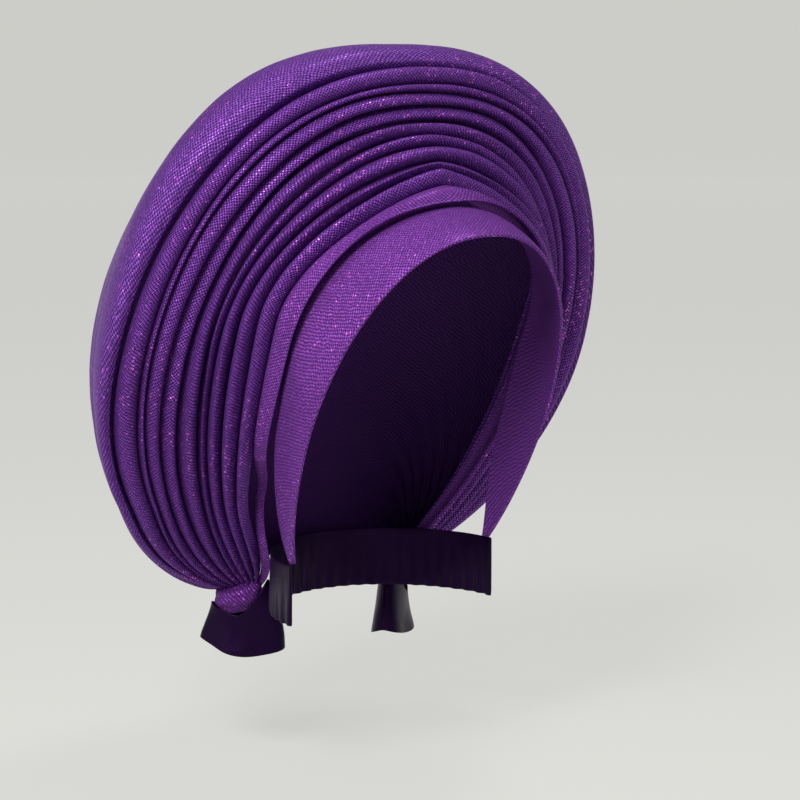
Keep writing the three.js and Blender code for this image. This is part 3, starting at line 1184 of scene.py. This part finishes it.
KNOT_SECTIONS = (
    OvalSection(-100, 12, 3, 0, -0.2, 0.5),
    OvalSection(-104, 13, 8.2, 0, -0.2, 0.3),
    OvalSection(-109, 13.2, 9, 0, -0.2),
    OvalSection(-113, 11.2, 7.6, 0, -0.2),
    OvalSection(-116.2, 6.8, 4.6, 0, -0.2),
)
TAIL_SECTIONS = (
    OvalSection(-117.2, 16, 8.2, 4, 0.1, 1, 17.5),
    OvalSection(-124, 18.6, 8.8, 7, 0.08, 2.6, 8),
    OvalSection(-131, 22, 9.8, 7, 0.09, 4, 2),
    OvalSection(-139, 24, 11.5, 6, 0.1, 3),
)
KNOT_MIDDLE = (52.0, 83.0)
# The ovals lie at half a right angle to both axes
DIAGONAL = math.sqrt(0.5)
# Places up and down over which the sections are blended
SECTION_BLEND = 0.3
# How sharply the rise keeps to an oval's inner end
RISE_POWER = 1.5


def oval_grid(sections: tuple[OvalSection, ...], side: Side, down: np.ndarray,
              turn: np.ndarray, grow: np.ndarray) -> np.ndarray:
    """Points on the ovals between a row of sections.

    Args:
        sections: Ovals from top to bottom.
        side: Which of the two sides.
        down: Places from the first section, 0, to the last.
        turn: Angles round the ovals.
        grow: Grid of lengths added to the half sizes.

    Returns:
        A grid of points, a ring for each place in down.
    """
    marks = np.arange(len(sections))

    def column(name: str) -> np.ndarray:
        """Reads one column of the sections, blended except for the heights.

        Args:
            name: The column's name.

        Returns:
            Its value at each place down, as a column.
        """
        values = np.array([getattr(section, name) for section in sections], dtype=float)
        fine = np.interp(down, marks, values)
        before = np.interp(np.maximum(down - SECTION_BLEND, 0), marks, values)
        after = np.interp(np.minimum(down + SECTION_BLEND, marks[-1]), marks, values)
        return ((fine + before + after) / 3 if name != "at" else fine)[:, None]

    along = (column("long") + grow) * np.cos(turn)[None, :] - column("shift")
    across = (column("short") + grow) * np.sin(turn)[None, :]
    x = KNOT_MIDDLE[0] + (along - across) * DIAGONAL
    y = KNOT_MIDDLE[1] + (along + across) * DIAGONAL
    inner_end = np.clip(-np.cos(turn), 0.0, 1.0)[None, :] ** RISE_POWER
    ends = column("lift") * np.cos(turn)[None, :] ** 2 + column("rise") * inner_end
    z = column("at") + ends + column("tilt") * along
    return np.stack([side.value * x, y, z], axis=-1)


def ring_angles(count: int, side: Side) -> np.ndarray:
    """Even angles round a ring, in the order that keeps faces outwards on either side."""
    return np.linspace(0.0, FULL_TURN, count + 1)[:-1] * -side.value


def ring_body(grid: np.ndarray, around: float, looped: bool = False) -> RingMesh:
    """Wraps a grid of rings as a body with nothing for the fold tree to swell.

    Args:
        grid: Rings of points.
        around: Length round a ring, for the cloth's map.
        looped: Whether the last ring is the first one again.

    Returns:
        The rings.
    """
    rows, cols = grid.shape[:2]
    middle = grid.mean(axis=1, keepdims=True)
    outward = unit(grid - middle)
    drop = np.linalg.norm(np.diff(grid[:, 0], axis=0), axis=-1)
    down = np.concatenate([[0.0], np.cumsum(drop)])
    u = np.repeat(down[:, None], cols, axis=1)
    v = np.repeat(np.linspace(0.0, around, cols)[None, :], rows, axis=0)
    zero = np.zeros((rows, cols))
    return RingMesh(grid, outward, zero, zero + 1.0, u, v, zero, looped)


@dataclass
class Knot:
    """Cloth wound round the gathered folds on one side, in millimetres."""

    side: Side
    folds: FoldTree
    turns: float = 3.0
    turn_height: float = 0.55
    turn_middle: float = 0.7
    ring_count: int = 49
    ring_points: int = 96
    around: float = 64.0
    crumple: Crumple = Crumple(0.7 * MM, 180.0, 41.0)
    flat: tuple[float, float] = (0.0169, 0.042)

    def build(self) -> None:
        """Makes the knot with its wound turns."""
        down = np.linspace(0.0, len(KNOT_SECTIONS) - 1, self.ring_count)
        turn = ring_angles(self.ring_points, self.side)
        wound = np.abs(np.sin(math.pi * self.turns * down[:, None] / down[-1] + turn[None, :] / 2))
        grow = self.turn_height * (wound - self.turn_middle)
        grid = oval_grid(KNOT_SECTIONS, self.side, down, turn, grow)
        node = f"{self.side.word}_knot"
        piece = ring_body(grid, self.around).build(f"{node}_cloth")
        self.folds.shape(piece, KNOT_CLOTH.material(), self.crumple)
        declare(piece, node)


@dataclass
class Tail:
    """The short satin tail that flares below one knot, in millimetres."""

    side: Side
    folds: FoldTree
    wall: float = 0.9
    waves: int = 5
    wave_height: float = 0.9
    wave_power: float = 1.5
    wave_shift: float = 0.8
    ring_count: int = 61
    ring_points: int = 120
    around: float = 115.0
    crumple: Crumple = Crumple(0.8 * MM, 70.0, 51.0)
    flat: tuple[float, float] = (0.028, 0.0955)

    def build(self) -> None:
        """Makes the tail as a bell of satin with soft folds."""
        last = len(TAIL_SECTIONS) - 1
        down = np.linspace(0.0, last, self.ring_count)
        turn = ring_angles(self.ring_points, self.side)
        flare = self.wave_height * (down[:, None] / last) ** self.wave_power
        wave = flare * np.cos(self.waves * turn[None, :] + self.wave_shift)
        outer = oval_grid(TAIL_SECTIONS, self.side, down, turn, wave)
        inner = oval_grid(TAIL_SECTIONS, self.side, down[::-1], turn, wave[::-1] - self.wall)
        grid = np.concatenate([outer, inner, outer[:1]], axis=0)
        node = f"{self.side.word}_tail"
        piece = ring_body(grid, self.around, looped=True).build(f"{node}_cloth")
        self.folds.shape(piece, SATIN.material(), self.crumple)
        declare(piece, node)


@dataclass
class NapeTie:
    """The satin band round the nape, in millimetres; its plan is half an oval with full corners."""

    folds: FoldTree
    half_width: float = 66.0
    depth: float = 70.0
    middle_y: float = 8.0
    corner: float = 1.03
    top: float = -76.4
    bottom: float = -109.0
    wall: float = 1.4
    wall_round: float = 0.5
    edge_round: float = 0.25
    ripple: float = 0.7
    ripple_pitch: float = 1.3
    ripple_power: int = 2
    stations: int = 321
    ring_points: int = 72
    around: float = 70.0
    crumple: Crumple = Crumple(1.6 * MM, 55.0, 61.0)
    flat: tuple[float, float] = (0.0339, 0.2103)

    def build(self) -> None:
        """Makes the tie as an upright wall with rounded edges and a rippled hem."""
        plan = self.plan()
        ahead = unit(np.gradient(plan, axis=0))
        outward = np.stack([-ahead[:, 1], ahead[:, 0], np.zeros(self.stations)], axis=-1)
        run = np.concatenate([[0.0], np.cumsum(np.linalg.norm(np.diff(plan, axis=0), axis=-1))])
        rows = []
        for turn in np.linspace(0.0, FULL_TURN, self.ring_points + 1)[:-1]:
            share = math.copysign(abs(math.cos(turn)) ** self.edge_round, math.cos(turn))
            out = math.copysign(abs(math.sin(turn)) ** self.wall_round, math.sin(turn))
            level = (self.top + self.bottom) / 2 + (self.top - self.bottom) / 2 * share
            gather = self.ripple * np.sin(run / self.ripple_pitch) * ((1 - share) / 2) ** self.ripple_power
            depth = (out - 1) * self.wall / 2 + gather
            rows.append(plan + outward * depth[:, None] + np.array((0.0, 0.0, level)))
        grid = np.stack(rows, axis=1)
        body = ring_body(grid, self.around)
        body.outward = np.repeat(outward[:, None, :], grid.shape[1], axis=1)
        piece = body.build("nape_tie_cloth")
        self.folds.shape(piece, SATIN.material(), self.crumple)
        declare(piece, "nape_tie")

    def plan(self) -> np.ndarray:
        """The tie's line seen from above.

        Returns:
            Points from the right end to the left one.
        """
        angle = np.linspace(math.pi, 0.0, self.stations)
        return np.stack([
            self.half_width * np.sign(np.cos(angle)) * np.abs(np.cos(angle)) ** self.corner,
            self.middle_y + self.depth * np.clip(np.sin(angle), 0, None) ** self.corner,
            np.zeros_like(angle),
        ], axis=-1)


@dataclass(frozen=True)
class Lamp:
    """A square soft light: its place and its side in metres, and its power in watts."""

    name: str
    place: tuple[float, float, float]
    size: float
    power: float

    def build(self) -> None:
        """Adds the light, facing the head tie."""
        data = bpy.data.lights.new(self.name, "AREA")
        data.size = self.size
        data.energy = self.power
        lamp = bpy.data.objects.new(self.name, data)
        lamp.location = self.place
        lamp.rotation_euler = (-Vector(self.place)).to_track_quat("-Z", "Y").to_euler()
        bpy.context.scene.collection.objects.link(lamp)


LAMPS = (
    Lamp("key", (-1.0, -0.66, 1.05), 0.45, 26.0),
    Lamp("top", (0.35, -0.1, 1.4), 0.35, 9.0),
    Lamp("side", (-1.25, 0.1, 0.35), 0.7, 2.5),
    Lamp("fill", (0.95, -1.0, 0.35), 1.1, 0.35),
)


@dataclass
class Studio:
    """Pale round floor, soft lights, and the camera of the photograph's view, in metres and degrees."""

    azimuth: float = -35.0
    elevation: float = 8.0
    distance: float = 1350 * MM
    pixel: float = 0.53 * MM
    frame_pixels: float = 800.0
    sensor_width: float = 36.0
    aim_left: float = 1.06 * MM
    aim_up: float = 6.36 * MM
    floor_level: float = -0.2
    floor_reach: float = 6.0
    edge_rise: float = 1.5
    floor_sides: int = 96
    bend_steps: int = 12
    room_colour: Colour = (0.86, 0.87, 0.9)
    room_strength: float = 0.2

    def build(self) -> None:
        """Makes the stage, the lights, the room and the camera."""
        self.stage()
        for lamp in LAMPS:
            lamp.build()
        self.room()
        self.camera()

    def room(self) -> None:
        """Adds the faint even light of a room, and plain colours."""
        world = bpy.data.worlds.new("soft_room")
        world.use_nodes = True
        light = world.node_tree.nodes["Background"].inputs
        light["Color"].default_value = (*self.room_colour, 1.0)
        light["Strength"].default_value = self.room_strength
        bpy.context.scene.world = world
        bpy.context.scene.view_settings.view_transform = "Standard"

    def stage(self) -> None:
        """Makes a wide round floor of paper that turns up at its far edge."""
        profile = [(self.floor_reach, 0.0)]
        for step in range(1, self.bend_steps + 1):
            angle = math.pi / 2 * step / self.bend_steps
            profile.append((self.floor_reach + self.edge_rise * math.sin(angle),
                            self.edge_rise * (1 - math.cos(angle))))
        points, faces = [], []
        count = len(profile)
        for place in range(self.floor_sides):
            turn = FULL_TURN * place / self.floor_sides
            points += [(r * math.cos(turn), r * math.sin(turn), self.floor_level + z) for r, z in profile]
            here, there = count * place, count * ((place + 1) % self.floor_sides)
            faces += [(here + i, here + i + 1, there + i + 1, there + i) for i in range(count - 1)]
        faces.append([count * place for place in range(self.floor_sides)])
        mesh = bpy.data.meshes.new("floor")
        mesh.from_pydata(points, [], faces)
        mesh.shade_smooth()
        mesh.materials.append(PAPER.material())
        paper = bpy.data.objects.new("floor", mesh)
        bpy.context.scene.collection.objects.link(paper)

    def camera(self) -> None:
        """Adds the camera at the photograph's viewing angle."""
        turn, rise = math.radians(self.azimuth), math.radians(self.elevation)
        back = Vector((math.sin(turn) * math.cos(rise), -math.cos(turn) * math.cos(rise), math.sin(rise)))
        right = Vector((math.cos(turn), math.sin(turn), 0.0))
        up = back.cross(right)
        data = bpy.data.cameras.new("camera")
        data.sensor_width = self.sensor_width
        data.lens = self.sensor_width * self.distance / (self.pixel * self.frame_pixels)
        eye = bpy.data.objects.new("camera", data)
        eye.location = back * self.distance - right * self.aim_left + up * self.aim_up
        eye.rotation_euler = back.to_track_quat("Z", "Y").to_euler()
        bpy.context.scene.collection.objects.link(eye)
        bpy.context.scene.camera = eye


def main() -> None:
    """Builds the head tie from the forehead to the nape, then the studio."""
    logging.basicConfig(level=logging.INFO, format="%(name)s %(message)s")
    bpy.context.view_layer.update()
    folds = FoldTree()
    fan = ClothSurface(FAN_LINES, Gather(), wander=FAN_WANDER)
    PleatedFan(fan, folds).build()
    RimAndBack(fan, folds).build()
    ForeheadBand(folds).build()
    for side in Side:
        Knot(side, folds).build()
        Tail(side, folds).build()
    NapeTie(folds).build()
    Studio().build()


if __name__ == "__main__":
    main()
